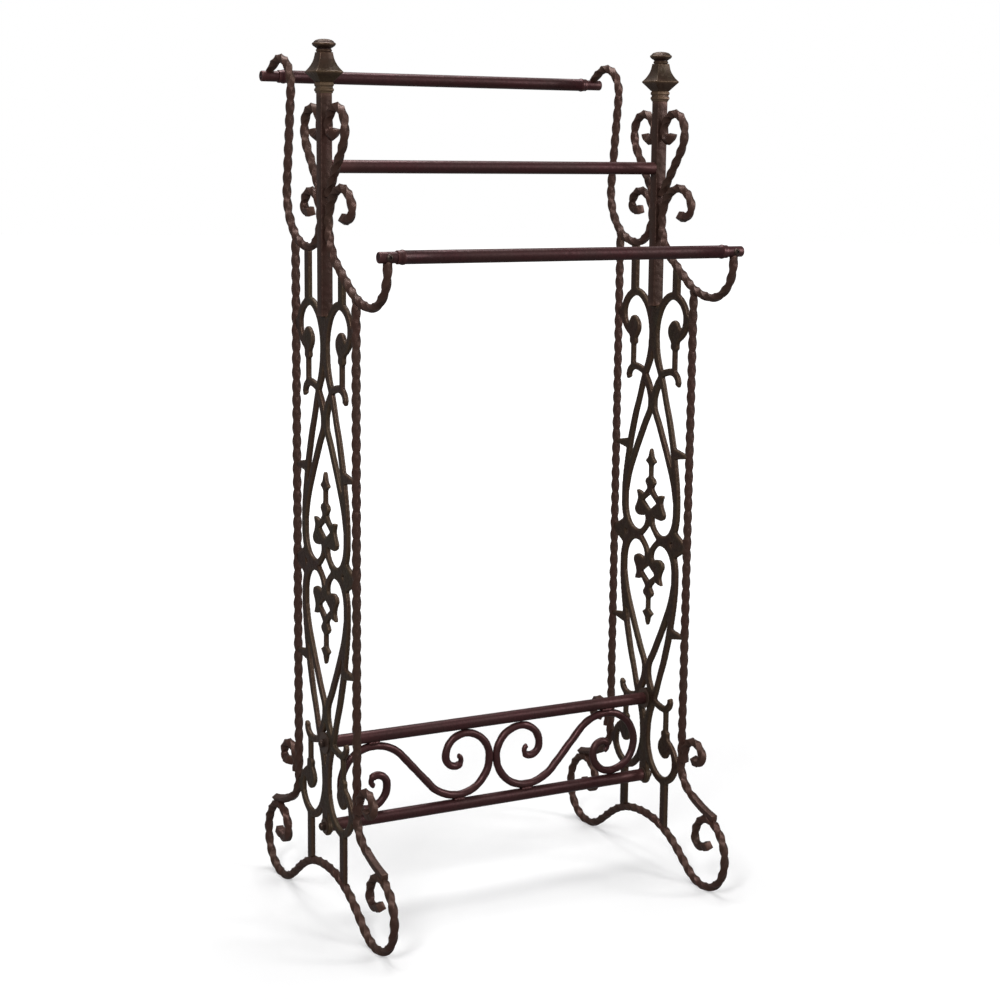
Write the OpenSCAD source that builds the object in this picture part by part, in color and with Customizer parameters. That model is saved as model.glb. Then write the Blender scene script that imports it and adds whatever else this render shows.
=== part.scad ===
// Wrought-iron quilt rack: two scrolled side frames joined by five round rails.
// Every bar is drawn the way it is bent: straight lengths and bends, one after another.
// X runs along the rails, +Y is the back of the rack, Z is up, and the feet stand on Z = 0.

/* [Overall] */
// Distance between the two side frames, centre to centre
rack_w = 476; // [400:2:600]
// Height of the cast panel between the seat of the post and its mirror image below
panel_h = 626; // [560:2:700]
// Length of the square post standing above the cast panel
post_h = 265; // [255:5:330]
// Distance from the post to the two upright bars of a side frame
upright_y = 90; // [88:1:104]

/* [Stock] */
// Side of the square bar used for the scrolls
bar = 8; // [6:0.5:10]
// Side of the square post
post_w = 15; // [12:0.5:20]
// Wall of the square post
post_wall = 1.5; // [1:0.25:3]
// Outside diameter of the round rails
rail_d = 16; // [14:0.5:20]
// Wall of the round rails
rail_wall = 1.2; // [1:0.1:2]
// Thickness of the cast panel
panel_t = 5; // [4:0.5:8]
// Thickness of the bar in the two S scrolls
s_bar = 10.5; // [8:0.5:12]
// Gap all round between a tube and the plug inside it
fit_gap = 0.1; // [0.05:0.05:0.3]

/* [Arms] */
// Bend radius of the rear arm beside the post, under its loop
rear_in_r = 38; // [34:1:44]
// Bend radius of the rear arm on the outside of its loop
rear_out_r = 67; // [60:1:74]
// Straight length of the rear arm
rear_straight = 117; // [90:1:140]
// Bend radius of the front arm where it leaves the post
front_in_r = 60; // [52:1:66]
// Bend radius of the front arm where it turns up to the rail
front_up_r = 46; // [38:1:54]
// How far a rail plug stands out past the side frame
plug_out = 12; // [8:1:20]
// Length of a rail plug
plug_l = 44; // [36:1:60]

/* [Foot] */
// Rise of the foot bar at the middle of its arch
arch_h = 58; // [52:1:70]
// Bend radius of the arch
arch_r = 138; // [120:1:160]
// Angle the arch turns through on each side
arch_a = 36; // [32:1:40]
// Bend radius of the loop where the foot turns up
toe_r = 48; // [40:1:56]
// Depth of the flat worn on the underside of each foot
foot_flat = 0.5; // [0.2:0.1:1]

/* [Stretcher] */
// Distance between the two stretcher rails, centre to centre
rail_gap = 109; // [100:1:112]
// Diameter of the bolts that hold the stretcher rails
bolt_d = 6; // [4:0.5:8]

/* [Finial] */
// Width of the square finial at its widest
finial_w = 35; // [28:1:44]
// Diameter of the button on top of the finial
button_d = 28; // [22:1:34]

/* [Hidden] */

// where a bent bar ends: [across, along, heading], from its steps and its starting point
function walk(s, p = [0, 0, 0], i = 0) =
  i == len(s) ? p :
  len(s[i]) == 1
    ? walk(s, [p[0] + s[i][0] * sin(p[2]), p[1] + s[i][0] * cos(p[2]), p[2]], i + 1)
    : let (r = s[i][0], g = sign(s[i][1]), b = p[2] + s[i][1])
      walk(s, [p[0] + g * r * (cos(p[2]) - cos(b)), p[1] + g * r * (sin(b) - sin(p[2])), b], i + 1);

// points along a bent bar every few degrees, and the point beside one on the bar's face
function centres(s, p = [0, 0, 0], i = 0) =
  i == len(s) ? [p] :
  let (n = len(s[i]) == 1 ? 1 : ceil(abs(s[i][1]) / (s[i][0] > 60 ? 3 : 6)))
  concat([p], [for (j = [1:1:n - 1]) walk([[s[i][0], s[i][1] * j / n]], p)],
    centres(s, walk([s[i]], p), i + 1));
function side(q, w) = [q[0] + w * cos(q[2]), q[1] - w * sin(q[2])];

// heights that follow from the sizes above
foot_z = bar / 2 - foot_flat;
panel_k = panel_h / 626;
mid_z = foot_z + 131 + panel_h / 2;
top_z = mid_z + panel_h / 2;
post_top = top_z + post_h;
half_w = rack_w / 2;
arm_y = post_w / 2 + bar / 2;
mid_rail_z = post_top - 86;
heart_z = post_top - 122;
up_z = mid_z - 223.5 * panel_k;
low_z = up_z - rail_gap;
plug_d = rail_d - 2 * rail_wall - 2 * fit_gap;
stud_w = post_w - 2 * post_wall - 2 * fit_gap;
tube_end = half_w - 11;
face_x = half_w - panel_t / 2;

// the bends of each bar, as [length] or [bend radius, angle]
rear_down = [[rear_in_r, 90], [rear_out_r, 97], [rear_straight], [34, -127], [19]];
rear_up = [[31, 70], [24, 80], [9, 120], [13]];
front_down = [[front_in_r, 55], [46], [96, 35], [front_up_r, 90], [9.5]];
front_up = [[44, 60], [32, 90], [13.5, 120], [12]];
heart = [[14, 37], [62], [40, -37], [24.1, -180], [10, -170]];
foot_run = (arch_h - (arch_r + 60) * (1 - cos(arch_a))) / sin(arch_a);
foot_half = [[upright_y - 86], [arch_r, arch_a], [foot_run], [60, -arch_a], [toe_r, -90],
  [toe_r, -60], [30, -120], [12, -110], [18]];
flare = [[40, 62], [190, 19]];
curl = [[12], [21, 90], [21, 70], [8, 110], [12]];
s_k = (rail_gap / 2 - rail_d / 2 - s_bar / 2) / 42.65;
s_half = [for (q = [[32], [56.8, -48], [46.9, -90], [38, -90], [29, -90], [15.4, -90],
  [8, -90], [6.5, -70]]) len(q) == 1 ? [q[0] * s_k] : [q[0] * s_k, q[1]]];

// where the bars meet each other
rear_hook_z = top_z + 119;
front_hook_z = top_z + 112;
rear_end = walk(rear_down, [arm_y, 0, 0]);
rear_rail = [rear_end[0] + 1.1, rear_hook_z - rear_end[1] - 7.1];
front_end = walk(front_down, [arm_y, 0, 0]);
front_rail = [-front_end[0], front_hook_z - front_end[1] + plug_d / 2 - 2];
front_bend = walk([[front_in_r, 55], [46]], [arm_y, 0, 0]);
rear_loop = [arm_y + rear_in_r, rear_hook_z - rear_in_r + rear_out_r];
front_loop = [front_bend[0] + 96 * cos(55), front_hook_z - front_bend[1] + 96 * sin(55)];
toe_top = foot_z + toe_r * (1 + sin(60)) + 30 * (1 - sin(60));
flare_z = toe_top + bar - 3.1 + walk(flare)[1];

function loop_z(c, r, y) = c[1] - sqrt(r * r - pow(y - c[0], 2));
function arch_z(y) = foot_z + arch_h - arch_r
  + sqrt(arch_r * arch_r - pow(max(0, y - upright_y + 86), 2));

// outline of a cast stroke through [across, up, width] points, smoothed between them
function ease(a, b, c, d, t) = b + 0.5 * t * (c - a)
  + t * t * (a - 2.5 * b + 2 * c - 0.5 * d) + t * t * t * (1.5 * (b - c) + 0.5 * (d - a));
function smooth(p, n = 2) = concat(
  [for (i = [0:len(p) - 2], j = [0:n - 1])
    ease(p[max(i - 1, 0)], p[i], p[i + 1], p[min(i + 2, len(p) - 1)], j / n)],
  [p[len(p) - 1]]);
function lift(p) = [for (q = p) [q[0], q[1] * panel_k, q[2]]];
function edge(c, i, side) =
  let (a = c[max(0, i - 1)], b = c[min(len(c) - 1, i + 1)], d = [b[0] - a[0], b[1] - a[1]])
  [c[i][0], c[i][1]] + side * c[i][2] / 2 * [-d[1], d[0]] / norm(d);
function outline(c) = concat([for (i = [0:len(c) - 1]) edge(c, i, -1)],
  [for (i = [len(c) - 1:-1:0]) edge(c, i, 1)]);

// strokes of one quarter of the cast panel, from its middle
oval = [[5.5, 272, 9], [6, 283, 9], [8, 294, 9.5], [14, 308, 9.5], [22, 318, 9.5],
  [33, 326, 9.5], [45, 328.5, 9.5], [57, 325.5, 9.5], [67, 318.5, 9.5], [74, 308, 10],
  [75.5, 298, 10.5], [73, 288, 10], [66.5, 279.5, 9], [58, 274, 9], [50, 271.5, 9]];
outer_leg = [[4.5, 314, 9.2], [4.8, 292, 9.8], [5, 276, 10.4], [5.4, 260, 11], [8, 246, 11.5],
  [12.5, 235, 10.5], [19, 222, 9], [25, 208, 8.5], [29.2, 196, 8], [34.3, 182, 8.2],
  [40, 168, 8.8], [44.6, 154, 9.3], [48.8, 140, 9.5], [52.3, 128, 9.6], [56.5, 108, 9.8],
  [60.2, 88, 10.5], [62.2, 72, 11.5], [63.2, 57, 12], [63.5, 45, 12], [62.5, 32, 11.8],
  [59, 20, 12], [52, 9, 13], [42, 2, 14], [30, 0, 13]];
inner_leg = [[20, 219, 10], [12.5, 209.5, 11], [6.8, 199, 11], [4.6, 190, 9.4],
  [4.4, 182, 8.8], [5.6, 174, 8.8], [10, 166, 9], [16.5, 156, 8.9], [22.6, 145, 9],
  [28.7, 134, 9], [34.5, 123.5, 9], [41.5, 110, 9.2], [48.5, 97, 10], [54.8, 84, 11],
  [59.5, 71, 12], [62.5, 58, 12]];
hook = [[15, 221, 9], [24, 224.5, 8.5], [33, 227, 8.5], [42, 228.5, 8.5], [51, 227, 8.8],
  [57.6, 222, 8.6], [60, 216, 8.5], [58.6, 211.5, 7.6]];
cross_leg = [[32, 1.5, 11], [22, 3.5, 8.5], [12.4, 10.4, 7], [6.4, 17.5, 8], [4.5, 24, 8.8],
  [4.4, 31, 8.8]];
bud = [[66, 279], [62, 287], [58.8, 289], [56, 294], [52, 296], [48.4, 296.5], [44, 295],
  [39.5, 291.5], [36, 287], [35, 281], [36.5, 275.5], [40, 270.5], [43, 267], [42.6, 259.5],
  [46.7, 257.5], [46.7, 226], [53.7, 226], [53.7, 257.5], [58, 259.5], [57.8, 267],
  [60, 271], [64, 276]];
pear = [[-1, 27], [8.8, 27], [11, 30.5], [17, 28], [27, 27], [34, 30], [36, 35], [35, 38],
  [31, 44], [28.6, 50], [29, 53.5], [32.4, 61.5], [24, 60.5], [16, 57.6], [8.6, 64.4],
  [6, 67.5], [-1, 67.5]];
spear = [[-1, 66], [5.5, 68], [11.6, 75.5], [9, 80], [4, 82.5], [3, 84], [3, 98], [5.5, 100.5],
  [12, 104], [7, 108], [4.2, 111], [3, 117], [-0.01, 121.5], [-1, 121.5]];

module left() translate([-half_w, 0, 0]) children();
module right() translate([half_w, 0, 0]) children();
module front() mirror([0, 1, 0]) children();
module up_from(y, z) translate([0, y, z]) children();
module down_from(y, z) translate([0, y, z]) rotate([0, 180, 0]) children();

// square bar bent both ways from its start: ahead along +Z and behind along -Z
module bent(ahead, behind = [], w = bar, t = bar) {
  back = centres(behind);
  c = concat([for (i = [len(back) - 1:-1:1]) [back[i][0], -back[i][1], -back[i][2]]],
    centres(ahead));
  rotate([90, 0, 90])
    linear_extrude(w, center = true)
      polygon(concat([for (q = c) side(q, t / 2)],
        [for (i = [len(c) - 1:-1:0]) side(c[i], -t / 2)]));
}

module tube(x0, x1, d, wall) {
  translate([x0, 0, 0])
    rotate([0, 90, 0])
      difference() {
        cylinder(d = d, h = x1 - x0, $fn = 64);
        translate([0, 0, -1]) cylinder(d = d - 2 * wall, h = x1 - x0 + 2, $fn = 64);
      }
}

module plug_space(p) {
  translate([-60, p[0], p[1]]) rotate([0, 90, 0]) cylinder(d = plug_d, h = 120, $fn = 64);
}

// square post with its open foot standing in the fork of the cast panel
module post() {
  color([0.26, 0.19, 0.17])
    difference() {
      translate([-post_w / 2, -post_w / 2, top_z]) cube([post_w, post_w, post_h]);
      translate([-post_w / 2 + post_wall, -post_w / 2 + post_wall, top_z - 1])
        cube([post_w - 2 * post_wall, post_w - 2 * post_wall, post_h + 2]);
    }
}

// two ridges round the top of the post, with the finial's stud passing through
module collar() {
  color([0.24, 0.18, 0.15])
    translate([0, 0, post_top])
      difference() {
        union() {
          square_block(post_w + 1, 13, 0);
          square_block(post_w + 3, 3.5, 2);
          square_block(post_w + 3, 3.5, 8.5);
        }
        translate([0, 0, -1]) square_block(stud_w + 2 * fit_gap, 15, 0);
      }
}

module square_block(w, h, z) {
  translate([-w / 2, -w / 2, z]) cube([w, w, h]);
}

// four-sided shape with the same outline seen from the front and from the side
module four_sided(outline, w) {
  intersection() {
    rotate([90, 0, 0]) linear_extrude(w, center = true) polygon(outline);
    rotate([90, 0, 90]) linear_extrude(w, center = true) polygon(outline);
  }
}

// four-sided cast finial with a round button and a square stud below
module finial() {
  skirt = post_w / 2 + 2;
  wide = finial_w / 2;
  slope = [[skirt, 0], [wide, 11], [wide, 12.5], [wide * 0.73, 19.5], [wide * 0.55, 27],
    [wide * 0.47, 35]];
  neck = button_d * 0.31;
  rim = button_d / 2;
  color([0.26, 0.19, 0.17])
    translate([0, 0, post_top + 13]) {
      square_block(stud_w, 34, -33);
      four_sided(concat(slope, [for (i = [5:-1:0]) [-slope[i][0], slope[i][1]]]), finial_w + 10);
      rotate_extrude($fn = 64)
        polygon([[0, 32], [neck * 0.9, 32], [neck * 0.9, 35], [neck, 35.5], [neck, 39.5],
          [rim * 0.7, 40.5], [rim, 43.5], [rim, 45.5], [rim * 0.76, 48], [rim * 0.36, 50],
          [0, 50.3]]);
    }
}

module quarter_panel() {
  polygon(outline(smooth(lift(oval))));
  polygon(outline(smooth(lift(outer_leg))));
  polygon(outline(smooth(lift(inner_leg))));
  polygon(outline(smooth(lift(hook))));
  polygon(outline(smooth(lift(cross_leg))));
  polygon([for (q = bud) [q[0], q[1] * panel_k]]);
  polygon([for (q = spear) [q[0], q[1] * panel_k]]);
  difference() {
    polygon([for (q = pear) [q[0], q[1] * panel_k]]);
    polygon([for (q = [[-2, 36.4], [17.1, 49], [-2, 61.6]]) [q[0], q[1] * panel_k]]);
  }
  touch = upright_y - bar / 2;
  polygon([for (q = [[56, 116], [60, 115], [touch, 119], [touch, 123], [60, 128], [54, 127]])
    [q[0], q[1] * panel_k]]);
  polygon([for (q = [[76, 289], [touch, 293], [touch, 303], [76, 308]])
    [q[0], q[1] * panel_k]]);
  polygon([[58, -1], [touch, -1], [touch, 5], [67, 15 * panel_k], [58, 22 * panel_k]]);
}

module half_panel() {
  quarter_panel();
  mirror([0, 1]) quarter_panel();
}

module stem(y, z0, z1) {
  translate([y - 7, z0 - mid_z]) square([14, z1 - z0]);
}

// round lug for the lower bolt, hanging from the middle of the casting
module bolt_lug(rise) {
  polygon(concat([for (a = [150:10:390]) 12 * [cos(a), sin(a)]], [[8, rise], [-8, rise]]));
}

// flat casting, notched for the post and coped where its stems meet the arms and the foot
module cast_panel() {
  low_stem = arch_z(50);
  oval_z = 327 * panel_k;
  color([0.29, 0.25, 0.2])
    difference() {
      translate([0, 0, mid_z])
        rotate([90, 0, 90])
          linear_extrude(panel_t, center = true) {
            half_panel();
            mirror([1, 0]) half_panel();
            stem(50, mid_z + oval_z, rear_hook_z - rear_in_r);
            stem(-50, mid_z + oval_z, front_hook_z - front_bend[1] + 14);
            stem(50, low_stem, mid_z - oval_z);
            stem(-50, low_stem, mid_z - oval_z);
            translate([0, low_z - mid_z]) bolt_lug(mid_z - 305 * panel_k - low_z);
          }
      translate([0, 0, top_z]) square_block(post_w, 60, 0);
      translate([-20, 0, low_z]) rotate([0, 90, 0]) cylinder(d = bolt_d + 0.4, h = 40, $fn = 32);
      rear_arm_bar();
      front_arm_bar();
      foot_bar();
    }
}

// one continuous bar: hook beside the post, loop, and the reach up and back to the rail
module rear_arm_bar(w = bar) {
  down_from(arm_y, rear_hook_z) bent(rear_down, rear_up, w);
}

module rear_arm() {
  color([0.28, 0.2, 0.17])
    difference() {
      rear_arm_bar();
      plug_space(rear_rail);
    }
}

// one continuous bar: larger hook, down the post, and the reach forward to the rail
module front_arm_bar(w = bar) {
  front() down_from(arm_y, front_hook_z) bent(front_down, front_up, w);
}

module front_arm() {
  color([0.28, 0.2, 0.17])
    difference() {
      front_arm_bar();
      plug_space(front_rail);
    }
}

// scroll making half of the heart round the post
module heart_scroll() {
  color([0.27, 0.19, 0.17]) up_from(arm_y, heart_z) bent(heart);
}

// upright bar, coped under the arm and flared out to rest on the foot
module upright(z) {
  color([0.28, 0.2, 0.16])
    difference() {
      down_from(upright_y, z) bent(concat([[z - flare_z]], flare));
      foot_bar(2 * bar);
      children();
    }
}

module foot_bar(w = bar) {
  difference() {
    translate([0, 0, foot_z + arch_h]) rotate([-90, 0, 0]) bent(foot_half, foot_half, w);
    translate([-2 * bar, -400, -20]) cube([4 * bar, 800, 20]);
  }
}

// one bar for both feet: arch, two toes and their curled ends, worn flat underneath
module foot() {
  color([0.27, 0.2, 0.17]) foot_bar();
}

// small curl on the outside of an upright
module foot_curl() {
  color([0.27, 0.2, 0.16]) up_from(upright_y + bar, flare_z + 2) bent(curl);
}

// round plug welded to the end of an arm, standing out past the frame
module rail_plug(p) {
  color([0.25, 0.17, 0.15])
    translate([0, p[0], p[1]])
      rotate([0, 90, 0]) {
        translate([0, 0, -plug_out]) cylinder(d1 = plug_d - 3, d2 = plug_d, h = 1.5, $fn = 64);
        translate([0, 0, 1.5 - plug_out]) cylinder(d = plug_d, h = plug_l - 1.5, $fn = 64);
      }
}

module front_rail_plug() {
  difference() {
    rail_plug(front_rail);
    plug_screw();
  }
}

// small round-headed screw through the front of a plug
module plug_screw() {
  color([0.2, 0.15, 0.12])
    translate([0, front_rail[0] - plug_d / 2 + 0.5, front_rail[1]])
      rotate([90, 0, 0]) {
        translate([0, 0, -9]) cylinder(d = 4, h = 9, $fn = 32);
        cylinder(d = 8, h = 1.6, $fn = 40);
        translate([0, 0, 1.6]) cylinder(d1 = 7, d2 = 5, h = 1, $fn = 40);
      }
}

module rail(p) {
  color([0.27, 0.17, 0.16])
    translate([0, p[0], p[1]]) tube(-tube_end, tube_end, rail_d, rail_wall);
}

module stretcher_rail(z) {
  color([0.27, 0.17, 0.16]) translate([0, 0, z]) tube(2 - face_x, face_x - 2, rail_d, rail_wall);
}

// the middle rail runs from post to post
module post_rail() {
  color([0.27, 0.17, 0.16])
    translate([0, 0, mid_rail_z])
      tube(post_w / 2 - half_w, half_w - post_w / 2, rail_d, rail_wall);
}

// S scroll, touching both stretcher rails and its neighbour
module s_scroll() {
  color([0.28, 0.2, 0.18])
    translate([-110.5 * s_k - s_bar / 2, 0, (up_z + low_z) / 2])
      rotate([0, 138, 0]) rotate([0, 0, -90])
        bent(s_half, [for (q = s_half) len(q) == 1 ? q : [q[0], -q[1]]], s_bar, s_bar);
}

// bolt through the panel into the end of a stretcher rail
module stretcher_bolt(z) {
  color([0.16, 0.13, 0.12])
    translate([-half_w - panel_t / 2 - 2, 0, z])
      rotate([0, 90, 0]) {
        cylinder(d = bolt_d, h = panel_t + 4 + 16, $fn = 32);
        translate([0, 0, -4]) cylinder(d = bolt_d * 1.9, h = 4, $fn = 6);
        translate([0, 0, -5]) cylinder(d1 = bolt_d * 1.2, d2 = bolt_d * 1.6, h = 1, $fn = 32);
      }
}

module washer(x, z, d) {
  color([0.2, 0.16, 0.14])
    translate([x, 0, z])
      rotate([0, 90, 0])
        difference() {
          cylinder(d = d, h = 2, $fn = 48);
          translate([0, 0, -1]) cylinder(d = bolt_d, h = 4, $fn = 32);
        }
}

module washer_pair(z, d) {
  washer(-half_w - panel_t / 2 - 2, z, d);
  washer(-half_w + panel_t / 2, z, d);
}

// threaded plug fixed inside the end of a stretcher rail
module stretcher_plug(z) {
  color([0.2, 0.16, 0.14])
    translate([2 - face_x, 0, z])
      rotate([0, 90, 0])
        difference() {
          cylinder(d = rail_d - 2 * rail_wall, h = 20, $fn = 64);
          translate([0, 0, -1]) cylinder(d = bolt_d, h = 22, $fn = 32);
        }
}

module both_ends() {
  children();
  mirror([1, 0, 0]) children();
}

module rear_upright() {
  upright(loop_z(rear_loop, rear_out_r, upright_y)) rear_arm_bar(2 * bar);
}

module front_upright() {
  front() upright(loop_z(front_loop, 96, upright_y)) front() front_arm_bar(2 * bar);
}

module left_post() { left() post(); }
module left_collar() { left() collar(); }
module left_finial() { left() finial(); }
module left_cast_panel() { left() cast_panel(); }
module left_rear_arm() { left() rear_arm(); }
module left_front_arm() { left() front_arm(); }
module left_rear_heart_scroll() { left() heart_scroll(); }
module left_front_heart_scroll() { left() front() heart_scroll(); }
module left_rear_upright() { left() rear_upright(); }
module left_front_upright() { left() front_upright(); }
module left_foot() { left() foot(); }
module left_rear_foot_curl() { left() foot_curl(); }
module left_front_foot_curl() { left() front() foot_curl(); }
module left_rear_rail_plug() { left() rail_plug(rear_rail); }
module left_front_rail_plug() { left() front_rail_plug(); }
module right_post() { right() post(); }
module right_collar() { right() collar(); }
module right_finial() { right() finial(); }
module right_cast_panel() { right() cast_panel(); }
module right_rear_arm() { right() rear_arm(); }
module right_front_arm() { right() front_arm(); }
module right_rear_heart_scroll() { right() heart_scroll(); }
module right_front_heart_scroll() { right() front() heart_scroll(); }
module right_rear_upright() { right() rear_upright(); }
module right_front_upright() { right() front_upright(); }
module right_foot() { right() foot(); }
module right_rear_foot_curl() { right() foot_curl(); }
module right_front_foot_curl() { right() front() foot_curl(); }
module right_rear_rail_plug() { right() mirror([1, 0, 0]) rail_plug(rear_rail); }
module right_front_rail_plug() { right() mirror([1, 0, 0]) front_rail_plug(); }
module rear_rail() { rail(rear_rail); }
module middle_rail() { post_rail(); }
module front_rail() { rail(front_rail); }
module upper_stretcher_rail() { stretcher_rail(up_z); }
module lower_stretcher_rail() { stretcher_rail(low_z); }
module left_s_scroll() { s_scroll(); }
module right_s_scroll() { mirror([1, 0, 0]) s_scroll(); }

module front_rail_screws() {
  both_ends() left() plug_screw();
}

module stretcher_bolts() {
  both_ends() for (z = [up_z, low_z]) stretcher_bolt(z);
}

module stretcher_washers() {
  both_ends() {
    washer_pair(up_z, 28);
    washer_pair(low_z, 20);
  }
}

module stretcher_plugs() {
  both_ends() for (z = [up_z, low_z]) stretcher_plug(z);
}

left_post();
left_collar();
left_finial();
left_cast_panel();
left_rear_arm();
left_front_arm();
left_rear_heart_scroll();
left_front_heart_scroll();
left_rear_upright();
left_front_upright();
left_foot();
left_rear_foot_curl();
left_front_foot_curl();
left_rear_rail_plug();
left_front_rail_plug();
right_post();
right_collar();
right_finial();
right_cast_panel();
right_rear_arm();
right_front_arm();
right_rear_heart_scroll();
right_front_heart_scroll();
right_rear_upright();
right_front_upright();
right_foot();
right_rear_foot_curl();
right_front_foot_curl();
right_rear_rail_plug();
right_front_rail_plug();
rear_rail();
middle_rail();
front_rail();
upper_stretcher_rail();
lower_stretcher_rail();
left_s_scroll();
right_s_scroll();
front_rail_screws();
stretcher_bolts();
stretcher_washers();
stretcher_plugs();
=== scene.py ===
import math
import bmesh
import bpy
from mathutils import Matrix, Vector


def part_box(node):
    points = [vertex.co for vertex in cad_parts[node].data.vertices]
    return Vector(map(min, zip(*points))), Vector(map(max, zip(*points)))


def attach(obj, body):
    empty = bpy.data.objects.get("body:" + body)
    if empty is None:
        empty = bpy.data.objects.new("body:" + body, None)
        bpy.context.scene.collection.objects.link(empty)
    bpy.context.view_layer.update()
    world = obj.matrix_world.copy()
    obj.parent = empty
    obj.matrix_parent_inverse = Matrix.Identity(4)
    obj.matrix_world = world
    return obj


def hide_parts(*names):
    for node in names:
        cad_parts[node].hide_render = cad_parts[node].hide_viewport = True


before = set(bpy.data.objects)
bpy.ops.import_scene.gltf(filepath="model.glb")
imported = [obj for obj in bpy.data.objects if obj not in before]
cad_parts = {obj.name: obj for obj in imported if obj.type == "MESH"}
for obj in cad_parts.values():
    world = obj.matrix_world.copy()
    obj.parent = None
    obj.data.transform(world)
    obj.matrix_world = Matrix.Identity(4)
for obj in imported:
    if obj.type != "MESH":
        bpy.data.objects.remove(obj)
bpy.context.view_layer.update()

# The studio: a camera a little below the finials, off to the left and tilted slightly down, a pale
# paper floor that glows more with distance, a pale dome behind it, and three large soft lamps.
turn, tilt, lean = math.radians(-28.74), math.radians(9.84), 0.0106
back = Vector((math.sin(turn) * math.cos(tilt), -math.cos(turn) * math.cos(tilt), math.sin(tilt)))
across = Vector((math.cos(turn), math.sin(turn), 0))
upward = back.cross(across)
level = across * math.cos(lean) + upward * math.sin(lean)
upright_axis = upward * math.cos(lean) - across * math.sin(lean)
bpy.ops.object.camera_add(location=(-1.22665, -2.2491, 0.9607))
camera = bpy.context.object
camera.name = "camera"
camera.matrix_world = Matrix.Translation(camera.location) @ Matrix(
    (level, upright_axis, back)).transposed().to_4x4()
camera.data.sensor_width = 36
camera.data.lens = 72.58
camera.data.clip_end = 100
bpy.context.scene.camera = camera

room = bpy.data.worlds.new("pale_room")
bpy.context.scene.world = room
bpy.context.scene.view_settings.view_transform = "Standard"
room.use_nodes = True
room.node_tree.nodes["Background"].inputs["Color"].default_value = (1.0, 0.995, 0.985, 1)
room.node_tree.nodes["Background"].inputs["Strength"].default_value = 0.22


def soft_lamp(name, place, aim, size, watts):
    bpy.ops.object.light_add(type="AREA", location=place)
    lamp = bpy.context.object
    lamp.name = name
    lamp.data.shape = "RECTANGLE"
    lamp.data.size, lamp.data.size_y = size
    lamp.data.energy = watts
    lamp.rotation_euler = (Vector(aim) - Vector(place)).to_track_quat("-Z", "Y").to_euler()


soft_lamp("key_lamp", (-2.6, -2.4, 2.9), (0, 0, 0.5), (0.9, 1.6), 95)
soft_lamp("fill_lamp", (2.8, -2.2, 1.9), (0, 0, 0.5), (0.8, 1.8), 60)
soft_lamp("top_lamp", (0.2, 0.9, 3.4), (0, 0, 0.4), (2.0, 1.4), 70)

bpy.ops.mesh.primitive_plane_add(size=44, location=(0, 0, 0))
floor = bpy.context.object
floor.name = "floor"
floor.visible_diffuse = floor.visible_glossy = False
bpy.ops.mesh.primitive_uv_sphere_add(segments=32, ring_count=16, radius=20)
dome = bpy.context.object
dome.name = "pale_dome"
dome.visible_diffuse = dome.visible_glossy = dome.visible_shadow = False


class Socket:
    """A node's output that plain arithmetic works on."""

    def __init__(self, paint, out):
        self.paint, self.out = paint, out

    def maths(self, operation, a, b):
        return self.paint.node("ShaderNodeMath", {"operation": operation}, {0: a, 1: b})

    def __add__(self, other):
        return self.maths("ADD", self, other)

    def __radd__(self, other):
        return self.maths("ADD", other, self)

    def __mul__(self, other):
        return self.maths("MULTIPLY", self, other)

    def __rmul__(self, other):
        return self.maths("MULTIPLY", other, self)


class Paint:
    """One material, with its nodes made through one method."""

    def __init__(self, name):
        self.material = bpy.data.materials.new(name)
        self.material.use_nodes = True
        self.tree = self.material.node_tree
        self.shader = self.tree.nodes["Principled BSDF"]

    def node(self, kind, settings=None, sockets=None, output=0):
        n = self.tree.nodes.new(kind)
        for key, value in (settings or {}).items():
            if key == "stops":
                while len(n.color_ramp.elements) < len(value):
                    n.color_ramp.elements.new(0.5)
                for stop, (place, shade) in zip(n.color_ramp.elements, value):
                    stop.position, stop.color = place, (shade, shade, shade, 1)
            else:
                setattr(n, key, value)
        for key, value in (sockets or {}).items():
            if isinstance(value, Socket):
                self.tree.links.new(value.out, n.inputs[key])
            else:
                n.inputs[key].default_value = value
        return Socket(self, n.outputs[output])

    def blend(self, share, a, b):
        return self.node("ShaderNodeMix", {"data_type": "RGBA"}, {0: share, 6: a, 7: b}, 2)

    def into(self, name, value):
        if isinstance(value, Socket):
            self.tree.links.new(value.out, self.shader.inputs[name])
        else:
            self.shader.inputs[name].default_value = value


paper = Paint("pale_paper")
paper_grain = paper.node("ShaderNodeTexNoise", {}, {"Scale": 9.0, "Detail": 4.0})
paper.into("Base Color", paper.blend(paper_grain, (0.65, 0.65, 0.65, 1), (0.67, 0.67, 0.668, 1)))
paper.into("Roughness", 0.75)
spread = paper.node("ShaderNodeVectorMath", {"operation": "LENGTH"},
                    {0: paper.node("ShaderNodeTexCoord", output=3)}, 1)
far = paper.node("ShaderNodeMapRange", {}, {"Value": spread, "From Min": 0.7, "From Max": 3.2})
paper.into("Emission Color", paper.blend(far, (0.32, 0.32, 0.325, 1), (1.0, 1.0, 1.0, 1)))
paper.into("Emission Strength", 1.0)
floor.data.materials.append(paper.material)
glow = Paint("pale_glow")
glow.into("Base Color", (0, 0, 0, 1))
glow.into("Specular IOR Level", 0.0)
glow.into("Emission Color", (1.0, 1.0, 1.0, 1))
glow.into("Emission Strength", 1.0)
dome.data.materials.append(glow.material)

# Posts: two 15 mm square tubes with eased corners, standing in the forks of the cast panels and
# sprayed a dark brown bronze. Its corners are painted lighter, partly rubbed wear and partly a
# painted highlight, and its hollows are painted darker as painted shade.


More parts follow.
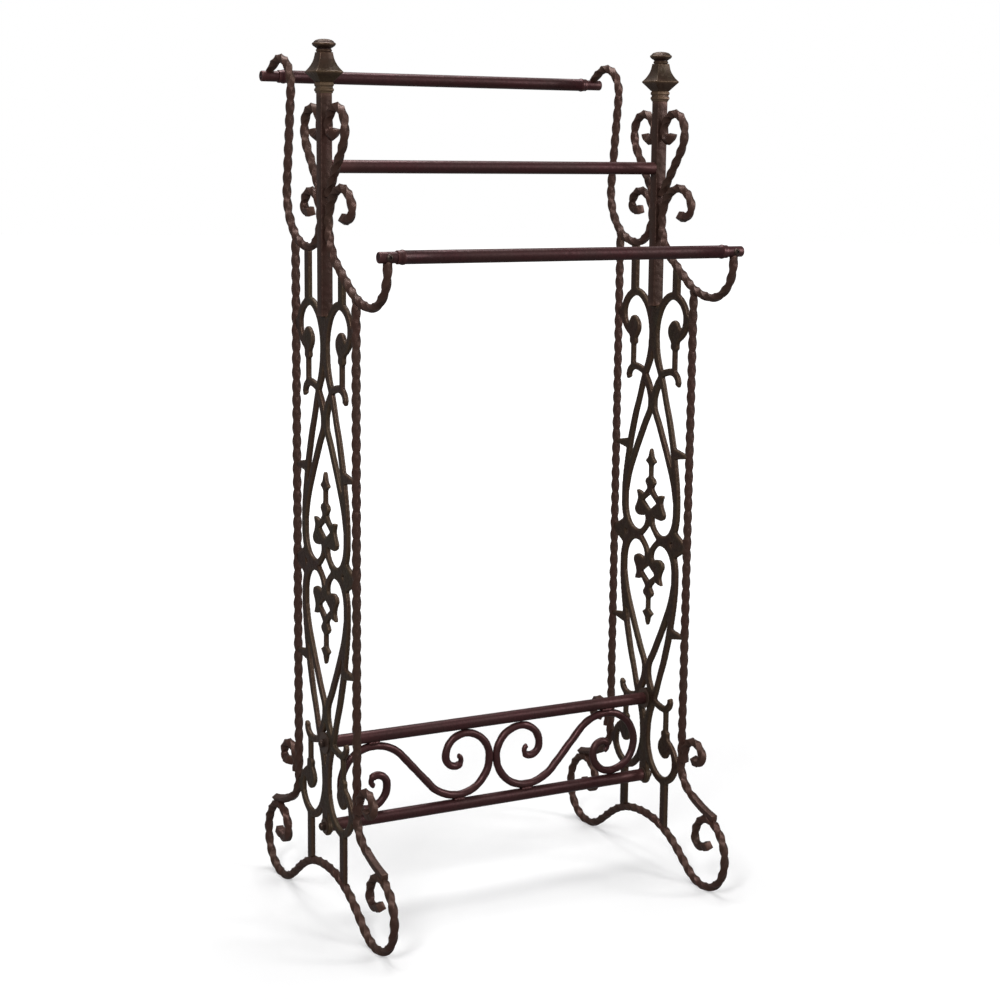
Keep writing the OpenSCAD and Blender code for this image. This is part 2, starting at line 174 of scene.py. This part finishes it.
def bronze(name, red, green, wear_and_highlight_colour, dent, gloss):
    p = Paint(name)
    place = p.node("ShaderNodeTexCoord", output=3)
    drift = p.node("ShaderNodeTexNoise", {}, {"Vector": place, "Scale": 17.0, "Detail": 5.0,
                                              "Roughness": 0.62})
    patch = p.node("ShaderNodeValToRGB", {"stops": [(0.4, 0.0), (0.62, 1.0)]}, {"Fac": drift})
    speck = p.node("ShaderNodeTexNoise", {}, {"Vector": place, "Scale": 420.0, "Detail": 3.0,
                                              "Roughness": 0.7})
    mottle = p.node("ShaderNodeValToRGB", {"stops": [(0.43, 0.0), (0.6, 1.0)]}, {"Fac": speck})
    corner = p.node("ShaderNodeNewGeometry", output=7)
    # partly real wear and partly painted highlight: convex edges, found by pointiness, get the
    # lighter rubbed colour
    edge_wear_and_highlight = p.node("ShaderNodeValToRGB", {"stops": [(0.5, 0.0), (0.58, 1.0)]}, {"Fac": corner})
    # painted shade: concave hollows, found by pointiness, are darkened towards a dark brown
    painted_hollow_shade = p.node("ShaderNodeValToRGB", {"stops": [(0.42, 1.0), (0.5, 0.0)]}, {"Fac": corner})
    coat = p.blend(patch, red, green)
    coat = p.blend(mottle * 0.7, coat, [c * 0.4 for c in red[:3]] + [1])
    coat = p.blend(painted_hollow_shade * 0.75, coat, [c * 0.3 for c in red[:3]] + [1])
    p.into("Base Color", p.blend(edge_wear_and_highlight * (0.35 + 0.5 * speck), coat, wear_and_highlight_colour))
    p.into("Metallic", 0.5)
    p.into("Specular IOR Level", 0.45)
    p.into("Roughness", gloss + 0.3 * speck + 0.08 * patch)
    hammer = p.node("ShaderNodeTexVoronoi", {"feature": "SMOOTH_F1"},
                    {"Vector": place, "Scale": 150.0, "Smoothness": 1.0})
    pits = p.node("ShaderNodeTexNoise", {}, {"Vector": place, "Scale": 900.0, "Detail": 2.0})
    p.into("Normal", p.node("ShaderNodeBump", {}, {
        "Strength": 0.6, "Distance": dent, "Height": hammer + 0.25 * pits}))
    return p.material


bar_bronze = bronze("bar_bronze", (0.045, 0.0152, 0.0128, 1), (0.034, 0.0205, 0.013, 1),
                    (0.165, 0.083, 0.06, 1), 0.0014, 0.26)


def clear_choice():
    if bpy.context.object and bpy.context.object.mode == "EDIT":
        bpy.ops.object.mode_set(mode="OBJECT")
    bpy.ops.object.select_all(action="DESELECT")


def pick(kind, test):
    bpy.ops.mesh.select_mode(type=kind)
    bpy.ops.mesh.select_all(action="DESELECT")
    mesh = bmesh.from_edit_mesh(bpy.context.object.data)
    for part in {"VERT": mesh.verts, "EDGE": mesh.edges, "FACE": mesh.faces}[kind]:
        if test(part):
            part.select_set(True)
    mesh.select_flush_mode()
    bmesh.update_edit_mesh(bpy.context.object.data)


def finish_piece(piece, name, coat, stands_for, smooth=32):
    clear_choice()
    piece.name = piece.data.name = name
    piece.select_set(True)
    bpy.context.view_layer.objects.active = piece
    bpy.ops.object.transform_apply(location=True, rotation=True, scale=True)
    bpy.ops.object.shade_smooth_by_angle(angle=math.radians(smooth))
    piece.data.materials.clear()
    piece.data.materials.append(coat)
    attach(piece, "root")
    if stands_for:
        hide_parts(*stands_for)
    return piece


def length_along(edge, axis):
    return abs((edge.verts[0].co - edge.verts[1].co)[axis])


for side in ("left", "right"):
    low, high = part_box(side + "_post")
    clear_choice()
    bpy.ops.mesh.primitive_cube_add(size=1, location=(low + high) / 2, scale=high - low)
    bpy.ops.object.transform_apply(location=True, rotation=True, scale=True)
    bpy.ops.object.mode_set(mode="EDIT")
    pick("EDGE", lambda e: length_along(e, 2) > 0.1)
    bpy.ops.mesh.bevel(offset=0.0014, segments=3, affect="EDGES")
    pick("EDGE", lambda e: length_along(e, 2) > 0.1)
    bpy.ops.mesh.subdivide(number_cuts=60)
    bpy.ops.object.mode_set(mode="OBJECT")
    finish_piece(bpy.context.object, side + "_square_post", bar_bronze, [side + "_post"])

# Cast panels: one sand casting a side, an openwork of crossing legs, ovals, buds and spears. The
# strokes are rounded over as a casting's are, a little uneven, and the hollows are painted darker
# as painted shade.
cast_bronze = bronze("cast_bronze", (0.052, 0.021, 0.015, 1), (0.054, 0.038, 0.0205, 1),
                     (0.19, 0.12, 0.07, 1), 0.0014, 0.26)
for side in ("left", "right"):
    clear_choice()
    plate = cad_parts[side + "_cast_panel"]
    plate.select_set(True)
    bpy.context.view_layer.objects.active = plate
    bpy.ops.object.duplicate()
    casting = bpy.context.object
    casting.parent = None
    for key in list(casting.keys()):
        del casting[key]
    bpy.ops.object.mode_set(mode="EDIT")
    bpy.ops.mesh.select_all(action="SELECT")
    bpy.ops.mesh.remove_doubles(threshold=0.00001)
    bpy.ops.object.mode_set(mode="OBJECT")
    swell = casting.modifiers.new("remesh", "REMESH")
    swell.mode, swell.voxel_size, swell.adaptivity = "VOXEL", 0.00116, 0.0
    bpy.ops.object.modifier_apply(modifier="remesh")
    fill_out = casting.modifiers.new("fill_out", "DISPLACE")
    fill_out.strength, fill_out.mid_level = 0.0005, 0.0
    bpy.ops.object.modifier_apply(modifier="fill_out")
    round_over = casting.modifiers.new("round_over", "SMOOTH")
    round_over.factor, round_over.iterations = 0.6, 4
    bpy.ops.object.modifier_apply(modifier="round_over")
    finish_piece(casting, side + "_openwork_casting", cast_bronze,
                 [side + "_cast_panel"], 60)

# Twisted uprights: 8 mm square bar, a little fuller once twisted, with one turn in 70 mm and the
# lower end left plain. They flare out at the foot and are welded to it. The first bent bars.


def centre_line(steps):
    y, z, h, points = 0.0, 0.0, 0.0, [(0.0, 0.0)]
    for step in steps:
        if len(step) == 1:
            y, z = y + step[0] * math.sin(h), z + step[0] * math.cos(h)
            points.append((y, z))
            continue
        radius, angle = step[0], math.radians(step[1])
        way, parts = math.copysign(1, angle), max(3, round(abs(step[1]) / 5))
        for k in range(1, parts + 1):
            g = h + angle * k / parts
            points.append((y + way * radius * (math.cos(h) - math.cos(g)),
                           z + way * radius * (math.sin(g) - math.sin(h))))
        y, z = points[-1]
        h += angle
    return points


def forge(line, stock, turn_length=0.0, twisted=(0.0, 1.0), round_bar=False, upset=(1.0, 1.0)):
    upset_run = 0.012
    clear_choice()
    points = [Vector(p) for p in line]
    length = sum((b - a).length for a, b in zip(points, points[1:]))
    path = bpy.data.curves.new("bend", "CURVE")
    path.dimensions, path.twist_mode = "3D", "MINIMUM"
    spline = path.splines.new("POLY")
    spline.points.add(len(points) - 1)
    for knot, p in zip(spline.points, points):
        knot.co = (*p, 1)
    bend = bpy.data.objects.new("bend", path)
    bpy.context.scene.collection.objects.link(bend)
    if round_bar:
        bpy.ops.mesh.primitive_cylinder_add(vertices=20, radius=stock / 2, depth=length,
                                            location=(length / 2, 0, 0),
                                            rotation=(0, math.pi / 2, 0))
    else:
        bpy.ops.mesh.primitive_cube_add(size=1, location=(length / 2, 0, 0),
                                        scale=(length, stock, stock))
    bar = bpy.context.object
    bpy.ops.object.transform_apply(location=True, rotation=True, scale=True)
    bpy.ops.object.mode_set(mode="EDIT")
    ends = (lambda e: length_along(e, 0) < 1e-6) if round_bar else (lambda e: True)
    pick("EDGE", ends)
    bpy.ops.mesh.bevel(offset=stock * 0.08, segments=2, affect="EDGES")
    for cuts in (9, max(1, round(length / 0.025) - 1)):
        pick("EDGE", lambda e: length_along(e, 0) > length * 0.03)
        bpy.ops.mesh.subdivide(number_cuts=cuts)
    for grow, at_end in ((upset[0], lambda v: v.co.x < upset_run),
                         (upset[1], lambda v: v.co.x > length - upset_run)):
        if grow != 1.0:
            pick("VERT", at_end)
            bpy.ops.transform.resize(value=(1, grow, grow), center_override=(0, 0, 0))
    bpy.ops.object.mode_set(mode="OBJECT")
    if turn_length:
        twist = bar.modifiers.new("twist", "SIMPLE_DEFORM")
        twist.deform_method, twist.deform_axis, twist.limits = "TWIST", "X", twisted
        twist.angle = 2 * math.pi * length * (twisted[1] - twisted[0]) / turn_length
        bpy.ops.object.modifier_apply(modifier="twist")
    follow = bar.modifiers.new("follow", "CURVE")
    follow.object, follow.deform_axis = bend, "POS_X"
    bpy.ops.object.modifier_apply(modifier="follow")
    bpy.data.objects.remove(bend)
    return bar


twisted_side = 0.0086
one_turn = 0.07
upright_y = 90
flare_height = 157.2
for side in ("left", "right"):
    for end, way in (("rear", 1), ("front", -1)):
        low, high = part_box(f"{side}_{end}_upright")
        x, top = (low.x + high.x) / 2, high.z * 1000
        line = [(x, way * (upright_y + y) / 1000, (top - z) / 1000)
                for y, z in centre_line([[top - flare_height], [40, 62], [190, 19]])]
        finish_piece(forge(line, twisted_side, one_turn, (0.0, 0.93)),
                     f"{side}_{end}_twisted_upright",
                     bar_bronze, [f"{side}_{end}_upright"], 40)

# Arms: one length of the same twisted bar each. It starts in a hook beside the post, runs down
# the post it is welded to, then bends out and comes up to the plug that carries a hanging rail.


def lay(node, steps, behind=(), way=1, hanging=True, by_top=False, arched=False):
    half_bar = 4
    low, high = (corner * 1000 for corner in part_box(node))
    line = [(y, -z) for y, z in centre_line(behind)[1:]][::-1] + centre_line(steps)
    if arched:
        line = [(z, -y) for y, z in line]
    line = [(way * y, -z if hanging else z) for y, z in line]
    dy = low.y + half_bar - min(y for y, z in line)
    if by_top:
        dz = high.z - half_bar - max(z for y, z in line)
    else:
        dz = low.z + half_bar - min(z for y, z in line)
    x = (low.x + high.x) / 2
    return [(x / 1000, (y + dy) / 1000, (z + dz) / 1000) for y, z in line]


rear_arm_bends = [[38, 90], [67, 97], [117], [34, -127], [19]]
rear_hook_bends = [[31, 70], [24, 80], [9, 120], [13]]
front_arm_bends = [[60, 55], [46], [96, 35], [46, 90], [9.5]]
front_hook_bends = [[44, 60], [32, 90], [13.5, 120], [12]]
for side in ("left", "right"):
    for end, way, arm, hook in (("rear", 1, rear_arm_bends, rear_hook_bends),
                                ("front", -1, front_arm_bends, front_hook_bends)):
        node = f"{side}_{end}_arm"
        piece = forge(lay(node, arm, hook, way), twisted_side, one_turn, (0.03, 0.985),
                      upset=(1.22, 1.0))
        finish_piece(piece, f"{side}_{end}_twisted_arm", bar_bronze, [node], 40)

# Heart scrolls: a pair to each post, bowed out and curled in to make a heart with the post
# through it. Each curl ends in a thickened tip close to the post.
heart_bends = [[14, 37], [62], [40, -37], [24.1, -180], [10, -170]]
for side in ("left", "right"):
    for end, way in (("rear", 1), ("front", -1)):
        node = f"{side}_{end}_heart_scroll"
        piece = forge(lay(node, heart_bends, (), way, False, True), twisted_side, one_turn,
                      (0.0, 0.9), upset=(1.0, 1.2))
        finish_piece(piece, f"{side}_{end}_heart", bar_bronze, [node], 40)

# Feet: one bar to a side frame makes the arch, both toes and their inner curls, worn flat where it
# stands on the floor. A small curl is welded to the outside of each upright above it.
foot_bends = [[4], [138, 36], [34.35], [60, -36], [48, -90], [48, -60], [30, -120], [12, -110],
              [18]]
curl_bends = [[12], [21, 90], [21, 70], [8, 110], [12]]
for side in ("left", "right"):
    node = side + "_foot"
    piece = forge(lay(node, foot_bends, foot_bends, 1, False, True, True), twisted_side, one_turn,
                  (0.04, 0.96), upset=(1.2, 1.2))
    bpy.ops.object.mode_set(mode="EDIT")
    bpy.ops.mesh.select_all(action="SELECT")
    bpy.ops.mesh.bisect(plane_co=(0, 0, 0), plane_no=(0, 0, 1), use_fill=True, clear_inner=True)
    bpy.ops.object.mode_set(mode="OBJECT")
    finish_piece(piece, side + "_twisted_foot", bar_bronze, [node], 40)
    for end, way in (("rear", 1), ("front", -1)):
        node = f"{side}_{end}_foot_curl"
        piece = forge(lay(node, curl_bends, (), way, False, True), twisted_side, one_turn,
                      (0.05, 0.85), upset=(1.0, 1.25))
        finish_piece(piece, f"{side}_{end}_curl", bar_bronze, [node], 40)

# Collars and finials: small castings set on top of the post. The finial is a four-sided spire with
# hollow flanks, drawn in to a turned neck and a button with a ridge round it.


def turned(start, direction, stations, sides=48, hollow=False):
    clear_choice()
    direction = Vector(direction)
    lie = direction.to_track_quat("Z", "Y").to_euler()
    first, wide = stations[0]
    bpy.ops.mesh.primitive_circle_add(vertices=sides, radius=wide / 1000, fill_type="NOTHING",
                                      location=Vector(start) + direction * first / 1000,
                                      rotation=lie)
    bpy.ops.object.transform_apply(location=True, rotation=True, scale=True)
    bpy.ops.object.mode_set(mode="EDIT")
    bpy.ops.mesh.select_all(action="SELECT")
    for (d0, r0), (d1, r1) in zip(stations, stations[1:]):
        bpy.ops.mesh.extrude_region_move(
            TRANSFORM_OT_translate={"value": direction * (d1 - d0) / 1000})
        bpy.ops.transform.resize(value=(r1 / r0,) * 3,
                                 center_override=Vector(start) + direction * d1 / 1000)
    bpy.ops.mesh.select_all(action="SELECT")
    bpy.ops.mesh.remove_doubles(threshold=0.000002)
    if not hollow:
        bpy.ops.mesh.select_all(action="SELECT")
        bpy.ops.mesh.fill_holes(sides=0)
    bpy.ops.mesh.select_all(action="SELECT")
    bpy.ops.mesh.normals_make_consistent(inside=False)
    bpy.ops.object.mode_set(mode="OBJECT")
    return bpy.context.object


def join(*pieces):
    clear_choice()
    for piece in pieces:
        piece.select_set(True)
    bpy.context.view_layer.objects.active = pieces[0]
    bpy.ops.object.join()
    return bpy.context.object


def ease_edges(piece, width, angle=28):
    clear_choice()
    piece.select_set(True)
    bpy.context.view_layer.objects.active = piece
    soft = piece.modifiers.new("ease", "BEVEL")
    soft.width, soft.segments, soft.limit_method = width, 3, "ANGLE"
    soft.angle_limit = math.radians(angle)
    bpy.ops.object.modifier_apply(modifier="ease")
    return piece


def square_rings(x, z, rings):
    piece = turned((x, 0, z), (0, 0, 1), [(h, w / math.sqrt(2)) for h, w in rings], 4)
    clear_choice()
    piece.select_set(True)
    bpy.context.view_layer.objects.active = piece
    bpy.ops.object.mode_set(mode="EDIT")
    bpy.ops.mesh.select_all(action="SELECT")
    bpy.ops.transform.rotate(value=math.radians(45), orient_axis="Z", center_override=(x, 0, z))
    bpy.ops.object.mode_set(mode="OBJECT")
    return piece


for side in ("left", "right"):
    low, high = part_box(side + "_collar")
    x, base = (low.x + high.x) / 2, low.z
    collar = square_rings(x, base, [(0, 16), (1.8, 16.2), (2.6, 18), (5.2, 18), (6, 16.2),
                                    (8, 16.2), (8.8, 18), (11.6, 18), (12.4, 16.4), (13, 16.4)])
    finish_piece(ease_edges(collar, 0.0006), side + "_ridged_collar", cast_bronze,
                 [side + "_collar"])
    spire = square_rings(x, high.z, [(0, 18), (1.2, 19.4), (4.5, 24.5), (8, 30), (10.6, 34.4),
                                     (11.4, 35.2), (12.4, 35.2), (13.4, 33.4), (16.4, 28.8),
                                     (19.8, 24.8), (23.6, 21.4), (27.6, 19), (32, 17.4),
                                     (35, 16.8)])
    ease_edges(spire, 0.0011, 50)
    button = turned((x, 0, high.z), (0, 0, 1),
                    [(33.5, 8.6), (35.2, 8.8), (36.2, 9.6), (37.4, 9.7), (38.3, 8.7), (39.2, 8.8),
                     (40.4, 10.6), (41.8, 12.8), (43, 13.8), (43.6, 14.2), (44.9, 14.2),
                     (45.6, 13.7), (46.2, 12.4), (47.4, 11.8), (48.8, 9.6), (49.8, 6), (50.2, 2),
                     (50.25, 0.2)], 56)
    finish_piece(join(spire, button), side + "_spire_finial", cast_bronze,
                 [side + "_finial"])

# Hanging rails: 16 mm round tube in a smoother, redder brown. The front and rear ones are swaged
# in a bead near each end over solid plugs welded to the arms. The middle one is welded to the
# posts.
rail_bronze = bronze("rail_bronze", (0.068, 0.0185, 0.022, 1), (0.053, 0.021, 0.0205, 1),
                     (0.15, 0.057, 0.052, 1), 0.0003, 0.22)


def tube_rail(node, name, bead):
    low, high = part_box(node)
    middle, run = (low + high) / 2, (high.x - low.x) * 1000
    r = (high.z - low.z) * 500
    swell = [(4.6, r), (5.8, r + 0.55), (7.6, r + 0.9), (9.4, r + 0.55), (10.6, r)] if bead else []
    outer = [(0, r - 0.5), (0.5, r)] + swell
    outer += [(run * k / 8, r) for k in range(1, 8)]
    outer += [(run - d, w) for d, w in reversed(swell)] + [(run - 0.5, r), (run, r - 0.5)]
    tube = turned((low.x, middle.y, middle.z), (1, 0, 0),
                  outer + [(run, r - 1.2), (0, r - 1.2), (0, r - 0.5)], 48, True)
    finish_piece(tube, name, rail_bronze, [node])


tube_rail("rear_rail", "rear_hanging_rail", True)
tube_rail("middle_rail", "middle_hanging_rail", False)
tube_rail("front_rail", "front_hanging_rail", True)

# Rail plugs: round bar turned to slide into the rail ends, welded to the arms, each with a dished
# outer end. A small dome-headed screw pins each front plug.
for side, way in (("left", 1), ("right", -1)):
    for end in ("rear", "front"):
        node = f"{side}_{end}_rail_plug"
        low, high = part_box(node)
        middle = (low + high) / 2
        r = (high.z - low.z) * 500
        start = (low.x if way > 0 else high.x, middle.y, middle.z)
        plug = turned(start, (way, 0, 0),
                      [(0.9, 0.3), (0.8, r - 2.6), (0.1, r - 1.9), (0, r - 1.3), (0.4, r - 0.5),
                       (1.3, r), (11, r), (22, r), (33, r), (43.6, r), (44, r - 0.5), (44, 0.3)])
        finish_piece(plug, f"{side}_{end}_plug", rail_bronze, [node])
low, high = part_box("front_rail_screws")
dark_bronze = bronze("dark_bronze", (0.024, 0.011, 0.01, 1), (0.026, 0.017, 0.013, 1),
                     (0.13, 0.08, 0.06, 1), 0.0004, 0.2)
heads = [turned((x, high.y, (low.z + high.z) / 2), (0, -1, 0),
                [(0, 2), (8.6, 2), (8.8, 3.6), (9.2, 4), (10, 4), (10.7, 3.6), (11.3, 2.6),
                 (11.6, 1.9), (10.6, 1.7), (10.6, 0.2)], 32)
         for x in (low.x + 0.004, high.x - 0.004)]
finish_piece(join(*heads), "plug_screws", dark_bronze, ["front_rail_screws"])

# Stretcher: two more tubes between the cast panels near the floor, each held by a bolt at either
# end that screws into a threaded plug inside the tube, with washers both sides of the casting.
tube_rail("upper_stretcher_rail", "upper_stretcher", False)
tube_rail("lower_stretcher_rail", "lower_stretcher", False)
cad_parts["stretcher_plugs"].data.materials.clear()
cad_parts["stretcher_plugs"].data.materials.append(dark_bronze)
rows = [(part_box(rail)[0].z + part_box(rail)[1].z) / 2
        for rail in ("upper_stretcher_rail", "lower_stretcher_rail")]
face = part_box("left_cast_panel")
bolts, rings = [], []
for way, (inner, outer) in ((-1, (face[1].x, face[0].x)),
                            (1, (-face[1].x, -face[0].x))):
    for z, wide in zip(rows, (14, 10)):
        for start, out in ((outer, way), (inner, -way)):
            rings.append(turned((start, 0, z), (out, 0, 0),
                                [(0, 3.2), (0, wide - 0.3), (0.3, wide), (1.6, wide),
                                 (2, wide - 0.5), (2, 3.2), (0, 3.2)], 48, True))
        hexagon = turned((outer, 0, z), (way, 0, 0), [(2, 5), (2, 5.4), (2.3, 5.7), (6, 5.7),
                                                      (6.6, 5.1), (6.6, 1)], 6)
        shank = turned((outer, 0, z), (way, 0, 0),
                       [(-24, 0.4), (-24, 3), (5.8, 3), (5.8, 4.8), (6.9, 4.6), (7.7, 3.9),
                        (8.3, 2.6), (8.6, 0.3)], 32)
        bolts += [ease_edges(hexagon, 0.0003), shank]
finish_piece(join(*bolts), "stretcher_cap_bolts", dark_bronze, ["stretcher_bolts"])
finish_piece(join(*rings), "stretcher_rings", dark_bronze, ["stretcher_washers"])

# S scrolls: round bar of about 10 mm, lightly hammered and bent cold to a mirrored pair of S shapes
# between the stretcher tubes. They are welded where they touch each tube, and their ends are drawn
# down to a blunt point.
s_bends = [[32], [56.8, -48], [46.9, -90], [38, -90], [29, -90], [15.4, -90], [8, -90], [6.5, -70]]
scroll_bar = 0.0102
tube_and_bar = 8 + 10.5 / 2
s_height = 42.65
s_share = ((rows[0] - rows[1]) * 500 - tube_and_bar) / s_height
s_half = [[q[0] * s_share] + q[1:] for q in s_bends]
weld_bead = [(0, 0.3), (0.6, 1.3), (1.6, 2.1), (2.6, 2.3), (3.6, 2.1), (4.6, 2.7), (6.2, 2.9),
             (7.4, 2.5), (8.6, 2.9), (10.4, 2.8), (11.6, 2.2), (12.8, 2.4), (14.2, 2), (15.4, 1.2),
             (16, 0.3)]
blows = bpy.data.textures.new("blows", "CLOUDS")
blows.noise_scale, blows.noise_depth = 0.011, 1
for side, way in (("left", 1), ("right", -1)):
    node = side + "_s_scroll"
    middle = (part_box(node)[0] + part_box(node)[1]) / 2
    swing = math.radians(138)
    half = centre_line(s_half)
    line = []
    for a, b in [(-a, -b) for a, b in half[1:]][::-1] + half:
        line.append((middle.x + way * (a * math.cos(swing) + b * math.sin(swing)) / 1000, 0,
                     middle.z + (-a * math.sin(swing) + b * math.cos(swing)) / 1000))
    scroll = forge(line, scroll_bar, round_bar=True, upset=(0.7, 0.7))
    struck = scroll.modifiers.new("struck", "DISPLACE")
    struck.texture, struck.texture_coords = blows, "GLOBAL"
    struck.strength, struck.mid_level = 0.0011, 0.5
    bpy.ops.object.modifier_apply(modifier="struck")
    welds = []
    for touch in (max(line, key=lambda p: p[2]), min(line, key=lambda p: p[2])):
        out = math.copysign(0.0052, touch[2] - middle.z)
        for face in (-0.0036, 0.0036):
            welds.append(turned((touch[0] - 0.008, face, touch[2] + out), (1, 0, 0),
                                weld_bead, 20))
    finish_piece(join(scroll, *welds), side + "_stretcher_scroll", rail_bronze, [node],
                 40)
